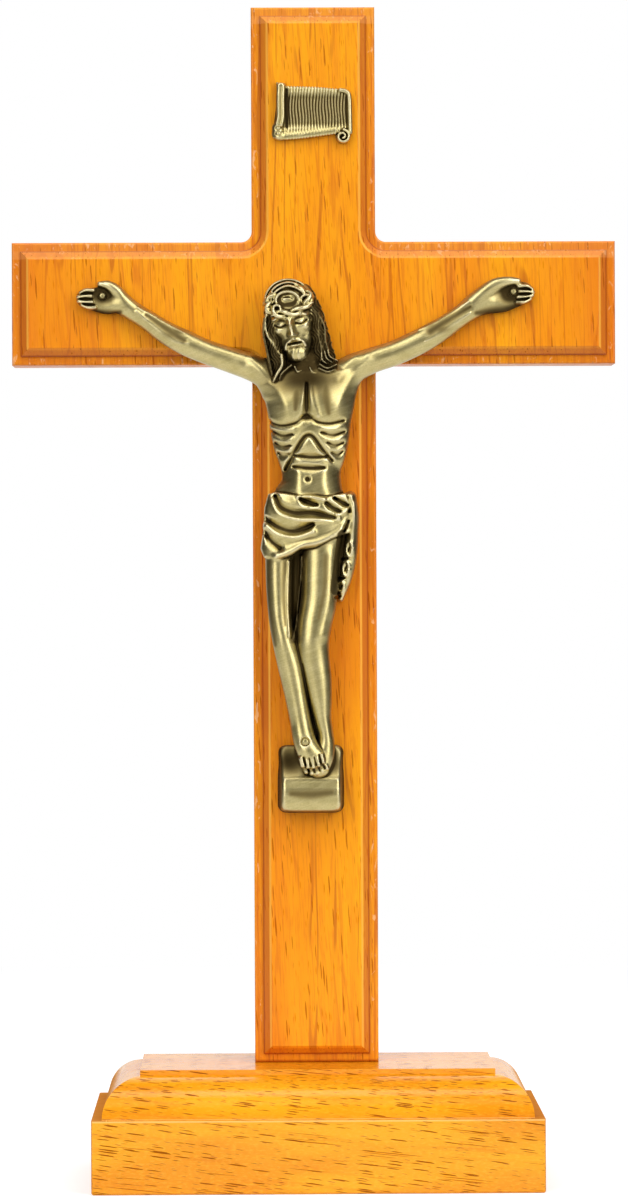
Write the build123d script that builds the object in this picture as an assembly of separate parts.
from build123d import *
import os

# Standing crucifix: a moulded wooden cross on a moulded wooden base, with a cast metal figure and scroll.
#
# The cross is one board with a raised front panel. It stands on the base on two dowels, drawn down by a
# screw from below. The figure is one flat-backed casting held by three nails, and the scroll is a casting
# with two pegs.
#
# Millimetres. X runs along the arms, -Y is the front and +Z is up. The origin is the middle of the base's
# underside.

OVERRUN = 1.0  # how far cutting tools pass the faces that they cut

# Base block
BASE_WIDTH = 83.4
BASE_DEPTH = 46.0
PLINTH_HEIGHT = 13.6
LEDGE_WIDTH = 1.9
ROUND_WIDTH = 6.9
ROUND_HEIGHT = 7.4
CAP_RISE = 1.0
BASE_EASE = 0.5

# Cross board
CROSS_HEIGHT = 198.0
CROSS_SPAN = 113.2
POST_WIDTH = 23.2
ARM_WIDTH = 23.0
HEAD_LENGTH = 44.0
BOARD_THICKNESS = 12.0
PANEL_RAISE = 1.6
QUIRK_RISE = 0.35
RIM_WIDTH = 1.65
BEVEL_WIDTH = 1.55
CROTCH_RADIUS = 2.0
BOARD_EASE = 0.45
PANEL_EASE = 0.25
SET_BACK = 2.2

# Foot joint: two dowels and a countersunk screw
DOWEL_DIAMETER = 4.0
DOWEL_LENGTH = 20.0
DOWEL_SPACING = 13.6
DOWEL_END_GAP = 0.4
DOWEL_CHAMFER = 0.4
SCREW_SHANK = 4.0
SCREW_CORE = 3.0
SCREW_LENGTH = 34.0
SCREW_TIP = 3.0
SCREW_HEAD = 7.6
SCREW_HEAD_HEIGHT = 2.2
SCREW_HOLE_GAP = 0.25
PILOT_END_GAP = 1.0
COUNTERBORE_DIAMETER = 9.0
COUNTERBORE_DEPTH = 6.0
DRIVE_SLOT_LENGTH = 4.2
DRIVE_SLOT_WIDTH = 0.9
DRIVE_SLOT_DEPTH = 1.4

# Figure: shares below are of its height in the plane of the cross, and of its depth towards the front
FIGURE_HEIGHT = 100.0
FIGURE_DEPTH = 10.0
FIGURE_OFFSET = -1.1
HAND_RISE = 1.7

# Nails
NAIL_SHANK = 0.9
NAIL_HEAD = 1.5
NAIL_HEAD_HEIGHT = 0.6
NAIL_SEAT_GAP = 0.15
NAIL_BITE = 5.0
NAIL_POINT = 1.2

# Title scroll
SCROLL_WIDTH = 15.0
SCROLL_HEIGHT = 11.8
SCROLL_THICKNESS = 1.1
SCROLL_RISE = 17.9
SCROLL_OFFSET = -0.25
SCROLL_ROLL = 1.9
SCROLL_CURL = 3.0
SCROLL_CORNER = 0.3
SCROLL_CURL_BORE = 1.1
SCROLL_RIM_EASE = 0.25
PEG_DIAMETER = 1.5
PEG_LENGTH = 4.0
PEG_SPACING = 8.0
PEG_END_GAP = 0.4

# Levels and planes that follow from the sizes above
BASE_HEIGHT = PLINTH_HEIGHT + ROUND_HEIGHT + CAP_RISE
CROSS_TOP = BASE_HEIGHT + CROSS_HEIGHT
ARM_TOP = CROSS_TOP - HEAD_LENGTH
ARM_MIDDLE = ARM_TOP - ARM_WIDTH / 2
PANEL_Y = SET_BACK - BOARD_THICKNESS / 2
RIM_Y = PANEL_Y + PANEL_RAISE
BACK_Y = PANEL_Y + BOARD_THICKNESS
FRONT = Plane.XZ  # sketches on it have X to the right and Z up, and its normal points to the front


def write(node, shape):
    """Writes one node's solids to its own file."""
    os.makedirs("parts", exist_ok=True)
    export_step(shape, f"parts/{node}.step")


def bar(radius, start, end):
    """A round bar from one point to another."""
    axis = Vector(*end) - Vector(*start)
    disc = Plane(origin=start, z_dir=axis) * Circle(radius)
    return extrude(disc, axis.length)


# Wood


def base_profile(width):
    """Half of the base's moulded section, mirrored about its middle, for a block of that width."""
    half = width / 2
    cap = half - LEDGE_WIDTH - ROUND_WIDTH
    round_top = PLINTH_HEIGHT + ROUND_HEIGHT
    right = [
        Line((0, 0), (half, 0)),
        Line((half, 0), (half, PLINTH_HEIGHT)),
        Line((half, PLINTH_HEIGHT), (half - LEDGE_WIDTH, PLINTH_HEIGHT)),
        TangentArc((half - LEDGE_WIDTH, PLINTH_HEIGHT), (cap, round_top), tangent=(0, 1)),
        Line((cap, round_top), (cap, BASE_HEIGHT)),
        Line((cap, BASE_HEIGHT), (0, BASE_HEIGHT)),
    ]
    left = [edge.mirror(Plane.YZ) for edge in right]
    return make_face(right + left)


def base_block():
    """The block with one moulding run round all four sides, so that its corners mitre."""
    lengthways = extrude(FRONT * base_profile(BASE_WIDTH), BASE_DEPTH / 2, both=True)
    crossways = extrude(Plane.YZ * base_profile(BASE_DEPTH), BASE_WIDTH / 2, both=True)
    block = lengthways & crossways
    corners = block.edges().filter_by(Axis.Z).group_by(Axis.Z)[0]
    block = fillet(corners, BASE_EASE)
    block = fillet(block.faces().sort_by(Axis.Z)[0].edges(), BASE_EASE)
    return block - dowel_holes() - screw_hole()


def cross_outline():
    """The cross's outline with its four inner corners rounded."""
    post = Pos(0, BASE_HEIGHT + CROSS_HEIGHT / 2) * Rectangle(POST_WIDTH, CROSS_HEIGHT)
    arms = Pos(0, ARM_MIDDLE) * Rectangle(CROSS_SPAN, ARM_WIDTH)
    plain = post + arms
    inner = plain.vertices().sort_by_distance((0, ARM_MIDDLE, 0))[:4]
    return fillet(inner, CROTCH_RADIUS)


def cross_board():
    """The board: a rim all round, then a small step and a bevel up to the raised panel."""
    outline = cross_outline()
    slab = extrude(FRONT.offset(-BACK_Y) * outline, BACK_Y - RIM_Y)
    faces = slab.faces().sort_by(Axis.Y)
    slab = fillet(faces[0].edges() + faces[-1].edges(), BOARD_EASE)
    panel_foot = offset(outline, amount=-RIM_WIDTH, kind=Kind.INTERSECTION)
    panel = extrude(FRONT.offset(-RIM_Y) * panel_foot, PANEL_RAISE)
    front = panel.faces().sort_by(Axis.Y)[0]
    panel = chamfer(front.edges(), BEVEL_WIDTH, PANEL_RAISE - QUIRK_RISE, reference=front)
    panel = fillet(panel.faces().sort_by(Axis.Y)[0].edges(), PANEL_EASE)
    board = slab + panel
    for place in hand_nail_places() + [foot_nail_place()]:
        board -= nail_hole(place)
    return board - dowel_holes() - pilot_hole() - peg_holes()


# Foot joint


def dowel_places():
    """Where the two dowels cross the joint, on either side of the screw."""
    return [Pos(side * DOWEL_SPACING / 2, SET_BACK, BASE_HEIGHT) for side in (-1, 1)]


def dowel_holes():
    """The dowels' holes, in the base and the post alike, with room at each end."""
    hole = Cylinder(DOWEL_DIAMETER / 2, DOWEL_LENGTH + 2 * DOWEL_END_GAP)
    return Compound([place * hole for place in dowel_places()])


def dowel(place):
    """One dowel with chamfered ends."""
    peg = Cylinder(DOWEL_DIAMETER / 2, DOWEL_LENGTH)
    return place * chamfer(peg.edges().filter_by(GeomType.CIRCLE), DOWEL_CHAMFER)


def turned(points):
    """A body turned about the screw's axis from half of its section, as (radius, height above the floor)."""
    section = make_face(Polyline(*points, close=True))
    return Pos(0, SET_BACK, 0) * revolve(Plane.XZ * section, Axis.Z)


def base_screw():
    """The countersunk screw in its counterbore, with a cross-shaped drive recess in its head."""
    head = COUNTERBORE_DEPTH
    tip = head + SCREW_LENGTH
    screw = turned(
        [
            (0, head),
            (SCREW_HEAD / 2, head),
            (SCREW_SHANK / 2, head + SCREW_HEAD_HEIGHT),
            (SCREW_SHANK / 2, BASE_HEIGHT),
            (SCREW_CORE / 2, BASE_HEIGHT),
            (SCREW_CORE / 2, tip - SCREW_TIP),
            (0, tip),
        ]
    )
    for length, width in ((DRIVE_SLOT_LENGTH, DRIVE_SLOT_WIDTH), (DRIVE_SLOT_WIDTH, DRIVE_SLOT_LENGTH)):
        screw -= Pos(0, SET_BACK, head) * Box(length, width, 2 * DRIVE_SLOT_DEPTH)
    return screw


def screw_hole():
    """The screw's way through the base: a counterbore, a countersink for its head and a clearance hole."""
    head = COUNTERBORE_DEPTH
    clear = SCREW_SHANK / 2 + SCREW_HOLE_GAP
    head_slope = SCREW_HEAD_HEIGHT / (SCREW_HEAD / 2 - SCREW_SHANK / 2)
    return turned(
        [
            (0, -OVERRUN),
            (COUNTERBORE_DIAMETER / 2, -OVERRUN),
            (COUNTERBORE_DIAMETER / 2, head),
            (SCREW_HEAD / 2, head),
            (clear, head + head_slope * (SCREW_HEAD / 2 - clear)),
            (clear, BASE_HEIGHT + OVERRUN),
            (0, BASE_HEIGHT + OVERRUN),
        ]
    )


def pilot_hole():
    """The hole in the post's end that the screw's thread bites in."""
    depth = COUNTERBORE_DEPTH + SCREW_LENGTH - BASE_HEIGHT + PILOT_END_GAP
    hole = Cylinder(SCREW_CORE / 2, depth + OVERRUN, align=(Align.CENTER, Align.CENTER, Align.MIN))
    return Pos(0, SET_BACK, BASE_HEIGHT - OVERRUN) * hole


# Nails, placed on the figure by shares of its height

palm_level_share = 0.967
hand_nail_shares = [(-0.384, 0.963), (0.384, 0.968)]
foot_nail_shares = (-0.009, 0.130)
hand_seat_share = 0.19
foot_seat_share = 0.60


def figure_foot():
    """The height of the figure's lowest point, set so that its palms lie on the arms."""
    return ARM_MIDDLE + HAND_RISE - palm_level_share * FIGURE_HEIGHT


def on_figure(u, v, depth):
    """A point on the figure: shares of its height across and up, and of its depth in front of the panel."""
    return (
        FIGURE_OFFSET + u * FIGURE_HEIGHT,
        PANEL_Y - depth * FIGURE_DEPTH,
        figure_foot() + v * FIGURE_HEIGHT,
    )


def hand_nail_places():
    """Each hand nail's place: its point on the panel, and the height of its head's seat above the panel."""
    return [(on_figure(u, v, 0), hand_seat_share * FIGURE_DEPTH) for u, v in hand_nail_shares]


def foot_nail_place():
    """The foot nail's place, in the same form."""
    return on_figure(*foot_nail_shares, 0), foot_seat_share * FIGURE_DEPTH


def moved(point, step):
    """A point moved towards the back of the cross."""
    return (point[0], point[1] + step, point[2])


def nail(place):
    """A round-headed nail through the casting into the board."""
    point, seat = place
    shank = bar(NAIL_SHANK / 2, moved(point, -seat), moved(point, NAIL_BITE - NAIL_POINT))
    tip_plane = Plane(origin=moved(point, NAIL_BITE - NAIL_POINT), z_dir=(0, 1, 0))
    tip = tip_plane * Cone(NAIL_SHANK / 2, 0, NAIL_POINT, align=(Align.CENTER, Align.CENTER, Align.MIN))
    head = bar(NAIL_HEAD / 2, moved(point, -seat), moved(point, -seat - NAIL_HEAD_HEIGHT))
    crown = head.faces().sort_by(Axis.Y)[0].edges()
    return shank + tip + fillet(crown, NAIL_HEAD_HEIGHT / 2)


def nail_hole(place):
    """What a nail takes out of the board."""
    point, _ = place
    return bar(NAIL_SHANK / 2, moved(point, -OVERRUN), moved(point, NAIL_BITE))


def nail_way(place):
    """What a nail takes out of the casting: its shank's hole and a flat seat for its head."""
    point, seat = place
    hole = bar(NAIL_SHANK / 2, moved(point, OVERRUN), moved(point, -seat))
    recess = bar(NAIL_HEAD / 2 + NAIL_SEAT_GAP, moved(point, -seat), moved(point, -FIGURE_DEPTH - OVERRUN))
    return hole + recess


# Figure: each station is (across, up, half width, depth of the middle, half depth), and left is the
# viewer's left

left_arm_shares = [
    (-0.040, 0.806, 0.0280, 0.22, 0.36),
    (-0.102, 0.829, 0.0255, 0.20, 0.31),
    (-0.145, 0.842, 0.0235, 0.18, 0.27),
    (-0.189, 0.857, 0.0226, 0.17, 0.24),
    (-0.230, 0.875, 0.0230, 0.16, 0.23),
    (-0.269, 0.896, 0.0200, 0.15, 0.21),
    (-0.303, 0.920, 0.0150, 0.13, 0.18),
    (-0.344, 0.945, 0.0147, 0.12, 0.16),
    (-0.350, 0.949, 0.0147, 0.12, 0.16),
]
right_arm_shares = [
    (0.040, 0.806, 0.0280, 0.22, 0.36),
    (0.086, 0.827, 0.0270, 0.20, 0.31),
    (0.120, 0.841, 0.0239, 0.18, 0.27),
    (0.163, 0.855, 0.0230, 0.17, 0.24),
    (0.210, 0.877, 0.0233, 0.16, 0.23),
    (0.250, 0.898, 0.0205, 0.15, 0.21),
    (0.283, 0.922, 0.0158, 0.13, 0.18),
    (0.318, 0.944, 0.0146, 0.12, 0.16),
    (0.328, 0.951, 0.0146, 0.12, 0.16),
]
left_hand_shares = [
    (-0.338, 0.944, 0.0140, 0.12, 0.15),
    (-0.364, 0.961, 0.0233, 0.10, 0.16),
    (-0.383, 0.963, 0.0271, 0.08, 0.15),
    (-0.415, 0.958, 0.0185, 0.07, 0.12),
    (-0.435, 0.958, 0.0105, 0.07, 0.10),
]
right_hand_shares = [
    (0.315, 0.944, 0.0140, 0.12, 0.15),
    (0.345, 0.962, 0.0224, 0.10, 0.16),
    (0.368, 0.967, 0.0295, 0.08, 0.15),
    (0.402, 0.967, 0.0220, 0.07, 0.12),
    (0.428, 0.966, 0.0105, 0.07, 0.10),
]
torso_shares = [
    (0.000, 0.500, 0.070, 0.22, 0.36),
    (0.002, 0.560, 0.083, 0.22, 0.38),
    (0.002, 0.605, 0.062, 0.20, 0.32),
    (0.003, 0.640, 0.057, 0.20, 0.30),
    (0.003, 0.690, 0.071, 0.22, 0.38),
    (0.003, 0.745, 0.080, 0.24, 0.42),
    (0.003, 0.795, 0.088, 0.24, 0.40),
    (-0.002, 0.828, 0.058, 0.24, 0.32),
    (-0.008, 0.850, 0.026, 0.28, 0.24),
]
head_shares = [
    (-0.006, 0.823, 0.012, 0.60, 0.12),
    (-0.010, 0.836, 0.026, 0.60, 0.24),
    (-0.017, 0.862, 0.037, 0.57, 0.34),
    (-0.027, 0.905, 0.042, 0.54, 0.38),
    (-0.034, 0.951, 0.037, 0.50, 0.34),
    (-0.040, 0.984, 0.014, 0.46, 0.16),
]
hair_shares = [
    (-0.012, 0.800, 0.046, 0.28, 0.20),
    (-0.010, 0.831, 0.064, 0.32, 0.26),
    (-0.019, 0.869, 0.058, 0.36, 0.32),
    (-0.028, 0.919, 0.052, 0.40, 0.34),
    (-0.035, 0.953, 0.043, 0.42, 0.32),
    (-0.040, 0.977, 0.028, 0.42, 0.24),
    (-0.043, 0.989, 0.012, 0.42, 0.12),
]
wreath_centre_shares = (-0.034, 0.945, 0.50)
wreath_reach_share = 0.041
wreath_band_share = 0.008
WREATH_NOD = 36.0  # degrees that the wreath tips to the front
WREATH_LEAN = 10.0  # degrees that it leans to the viewer's left
cloth_shares = [
    (0.014, 0.594, 0.064, 0.22, 0.38),
    (0.006, 0.571, 0.083, 0.24, 0.46),
    (0.002, 0.533, 0.087, 0.24, 0.48),
    (-0.003, 0.494, 0.088, 0.24, 0.46),
]
CLOTH_HEM_TILT = -14.0  # degrees that the hem drops towards the viewer's left
tail_shares = [
    (0.076, 0.582, 0.0120, 0.20, 0.26),
    (0.079, 0.524, 0.0125, 0.18, 0.26),
    (0.076, 0.468, 0.0130, 0.16, 0.24),
    (0.066, 0.422, 0.0120, 0.15, 0.20),
    (0.057, 0.388, 0.0060, 0.14, 0.16),
]
left_leg_shares = [
    (-0.052, 0.530, 0.030, 0.24, 0.38),
    (-0.058, 0.460, 0.0235, 0.26, 0.36),
    (-0.057, 0.360, 0.0190, 0.30, 0.34),
    (-0.048, 0.300, 0.0170, 0.34, 0.32),
    (-0.034, 0.245, 0.0180, 0.30, 0.30),
    (-0.024, 0.190, 0.0150, 0.34, 0.24),
    (-0.016, 0.150, 0.0150, 0.42, 0.22),
]
right_leg_shares = [
    (0.030, 0.540, 0.040, 0.24, 0.38),
    (0.022, 0.470, 0.0350, 0.26, 0.36),
    (0.012, 0.370, 0.0320, 0.30, 0.36),
    (0.005, 0.318, 0.0300, 0.34, 0.34),
    (0.017, 0.245, 0.0235, 0.28, 0.30),
    (0.023, 0.180, 0.0165, 0.26, 0.24),
    (0.026, 0.130, 0.0120, 0.26, 0.22),
]
front_foot_shares = [
    (-0.018, 0.162, 0.0150, 0.40, 0.22),
    (-0.009, 0.125, 0.0175, 0.46, 0.20),
    (0.002, 0.090, 0.0180, 0.54, 0.14),
    (0.008, 0.068, 0.0150, 0.58, 0.09),
]
rear_foot_shares = [
    (0.026, 0.140, 0.0120, 0.26, 0.20),
    (0.024, 0.110, 0.0140, 0.36, 0.18),
    (0.021, 0.076, 0.0130, 0.46, 0.12),
]
footrest_sides_shares = (-0.058, 0.062)
footrest_shares = [(0, 0), (0.46, 0.001), (0.52, 0.063), (0.14, 0.121), (0, 0.121)]  # (depth, up) of its side
footrest_ease_share = 0.008


def front_room():
    """The room in front of the panel that the whole figure fits in."""
    middle = Pos(FIGURE_OFFSET, PANEL_Y - FIGURE_DEPTH, figure_foot() + FIGURE_HEIGHT / 2)
    return middle * Box(2 * FIGURE_HEIGHT, 2 * FIGURE_DEPTH, 2 * FIGURE_HEIGHT)


def limb(stations, end_tilt=0.0):
    """A smooth tapering body through elliptical stations, cut flat where it meets the panel.

    Each station is square to the way from the station before it to the one after it.
    """
    points = [Vector(*on_figure(u, v, depth)) for u, v, _, depth, _ in stations]
    flat = [Vector(p.X, 0, p.Z) for p in points]
    sections = []
    for i, (_, _, half_width, _, half_depth) in enumerate(stations):
        along = flat[min(i + 1, len(flat) - 1)] - flat[max(i - 1, 0)]
        if end_tilt and i == len(stations) - 1:
            along = along.rotate(Axis.Y, end_tilt)
        across = along.cross(Vector(0, 1, 0)).normalized()
        plane = Plane(origin=points[i], x_dir=across, z_dir=along)
        sections.append(plane * Ellipse(half_width * FIGURE_HEIGHT, half_depth * FIGURE_DEPTH))
    return loft(sections) & front_room()


def wreath():
    """The ring round the brow, tipped with the bowed head."""
    u, v, depth = wreath_centre_shares
    ring = Torus(wreath_reach_share * FIGURE_HEIGHT, wreath_band_share * FIGURE_HEIGHT)
    return Pos(*on_figure(u, v, depth)) * Rot(0, -WREATH_LEAN, 0) * Rot(WREATH_NOD, 0, 0) * ring


def footrest():
    """The wedge under the feet, with all its edges eased but those on the panel."""
    left, right = [FIGURE_OFFSET + share * FIGURE_HEIGHT for share in footrest_sides_shares]
    side = [(-depth * FIGURE_DEPTH, v * FIGURE_HEIGHT) for depth, v in footrest_shares]
    side_plane = Plane(origin=(left, PANEL_Y, figure_foot()), x_dir=(0, 1, 0), z_dir=(1, 0, 0))
    block = extrude(side_plane * make_face(Polyline(*side, close=True)), right - left)
    back = block.faces().sort_by(Axis.Y)[-1].edges()
    return fillet(block.edges() - back, footrest_ease_share * FIGURE_HEIGHT)


def corpus():
    """The figure and its footrest as one casting, flat where it lies on the panel."""
    body = limb(torso_shares)
    for stations in (left_arm_shares, right_arm_shares, left_hand_shares, right_hand_shares):
        body += limb(stations)
    for stations in (hair_shares, head_shares, tail_shares, left_leg_shares, right_leg_shares):
        body += limb(stations)
    body += wreath()
    body += limb(cloth_shares, CLOTH_HEM_TILT)
    body += footrest()
    for stations in (rear_foot_shares, front_foot_shares):
        body += limb(stations)
    for place in hand_nail_places() + [foot_nail_place()]:
        body -= nail_way(place)
    return body


# Title scroll

scroll_shares = [
    (-0.50, -0.33),
    (-0.49, -0.21),
    (-0.455, 0.10),
    (-0.44, 0.50),
    (-0.34, 0.49),
    (-0.31, 0.435),
    (0.05, 0.435),
    (0.41, 0.41),
    (0.48, 0.35),
    (0.50, -0.30),
    (0.30, -0.29),
    (0.05, -0.325),
    (-0.17, -0.365),
    (-0.38, -0.40),
    (-0.48, -0.39),
]
curl_shares = (0.385, -0.365)
roll_shares = [(-0.39, 0.48), (-0.40, -0.14)]


def scroll_middle():
    """The scroll's middle on the panel."""
    return (SCROLL_OFFSET, PANEL_Y, ARM_TOP + SCROLL_RISE + SCROLL_HEIGHT / 2)


def on_scroll(u, v, depth=0.0):
    """A point on the scroll: shares of its width and height, and a distance in front of the panel."""
    x, y, z = scroll_middle()
    return (x + u * SCROLL_WIDTH, y - depth, z + v * SCROLL_HEIGHT)


def scroll_pegs(start, length):
    """Two round bars behind the scroll, from that far behind the panel's face and of that length."""
    x, y, z = scroll_middle()
    pegs = []
    for side in (-1, 1):
        peg_x = x + side * PEG_SPACING / 2
        pegs.append(bar(PEG_DIAMETER / 2, (peg_x, y + start, z), (peg_x, y + start + length, z)))
    return Compound(pegs)


def peg_holes():
    """The holes for the pegs in the board, with room at their ends."""
    return scroll_pegs(-OVERRUN, OVERRUN + PEG_LENGTH + PEG_END_GAP)


def title_scroll():
    """A bare scroll: a plate with a roll down its left edge and a curl at its lower right corner."""
    corners = [(u * SCROLL_WIDTH, v * SCROLL_HEIGHT) for u, v in scroll_shares]
    sheet = make_face(Polyline(*corners, close=True))
    sheet = fillet(sheet.vertices(), SCROLL_CORNER)
    plate = Pos(*scroll_middle()) * extrude(FRONT * sheet, SCROLL_THICKNESS)
    front = plate.faces().sort_by(Axis.Y)[0]
    plate = fillet(front.edges(), SCROLL_RIM_EASE)
    top, bottom = [on_scroll(u, v, SCROLL_THICKNESS) for u, v in roll_shares]
    roll = bar(SCROLL_ROLL / 2, top, bottom)
    curl_height = SCROLL_THICKNESS + SCROLL_ROLL / 2
    curl = bar(SCROLL_CURL / 2, on_scroll(*curl_shares), on_scroll(*curl_shares, curl_height))
    eye_floor = on_scroll(*curl_shares, SCROLL_THICKNESS)
    eye = bar(SCROLL_CURL_BORE / 2, eye_floor, on_scroll(*curl_shares, curl_height + OVERRUN))
    scroll = plate + roll + (curl - eye)
    for peg in scroll_pegs(0, PEG_LENGTH).solids():
        scroll += peg
    return scroll


def main():
    write("base_block", base_block())
    write("cross_board", cross_board())
    for name, place in zip(("dowel_left", "dowel_right"), dowel_places()):
        write(name, dowel(place))
    write("base_screw", base_screw())
    write("corpus", corpus())
    for name, place in zip(("hand_nail_left", "hand_nail_right"), hand_nail_places()):
        write(name, nail(place))
    write("foot_nail", nail(foot_nail_place()))
    write("title_scroll", title_scroll())


main()
